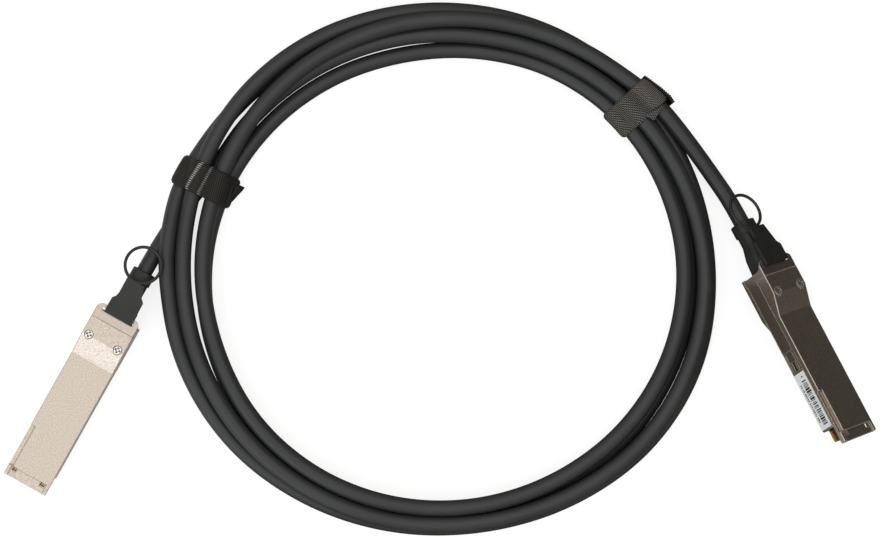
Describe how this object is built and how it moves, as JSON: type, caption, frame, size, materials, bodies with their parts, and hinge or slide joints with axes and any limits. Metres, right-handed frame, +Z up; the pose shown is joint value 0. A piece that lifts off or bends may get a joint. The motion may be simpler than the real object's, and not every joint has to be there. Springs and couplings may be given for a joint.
{
  "type": "direct attach copper cable",
  "caption": "Coiled twin-axial copper cable with a four-lane pluggable metal connector on each end, a sprung pull-tab latch on each, and two hook-and-loop ties.",
  "frame": {"origin": "middle of the two plugs' joint footprint, at the level of the surface that the cable lies on", "axes": "+Z up, +X from the flat plug towards the rolled plug, +Y across the coil away from the plugs' noses"},
  "size_m": [0.3394, 0.209, 0.0342],
  "materials": {
    "shell": "nickel-plated die casting, satin",
    "boot": "moulded, matt",
    "jacket": "satin jacket",
    "contact": "gold plated",
    "ferrule": "tin plated",
    "label": "white polyester label",
    "slider": "stamped stainless steel, satin",
    "chip": "moulded package",
    "card": "solder mask over glass-epoxy board",
    "tab": "moulded, fine matt grain",
    "spring": "spring wire",
    "screw": "bright nickel",
    "tie": "hook-and-loop tape",
    "pair": "foil screen"
  },
  "bodies": {
    "assembly": {"bottom_shell_a": "shell", "bottom_shell_b": "shell", "cable_boot_a": "boot", "cable_boot_b": "boot", "cable_coil": "jacket", "cable_tail_a": "jacket", "cable_tail_b": "jacket", "contact_fingers_a": "contact", "contact_fingers_b": "contact", "crimp_ferrule_a": "ferrule", "crimp_ferrule_b": "ferrule", "label_b": "label", "memory_chip_a": "chip", "memory_chip_b": "chip", "paddle_card_a": "card", "paddle_card_b": "card", "return_springs_a": "spring", "return_springs_b": "spring", "screws_a": "screw", "screws_b": "screw", "tie_a": "tie", "tie_b": "tie", "top_shell_a": "shell", "top_shell_b": "shell", "twinax_pairs_a": "pair", "twinax_pairs_b": "pair"},
    "release_a": {"latch_slider_a": "slider", "pull_tab_a": "tab"},
    "release_b": {"latch_slider_b": "slider", "pull_tab_b": "tab"}
  },
  "joints": [
    {"name": "release_slide_a", "type": "slide", "parent": "assembly", "child": "release_a", "axis": [0.4894, 0.8721, 0], "range_m": [0, 0.0025], "stiffness_N_per_m": 2000, "springref_m": -0.002, "deforming": ["return_springs_a"]},
    {"name": "release_slide_b", "type": "slide", "parent": "assembly", "child": "release_b", "axis": [-0.4387, 0.8742, -0.2079], "range_m": [0, 0.0025], "stiffness_N_per_m": 2000, "springref_m": -0.002, "deforming": ["return_springs_b"]}
  ]
}
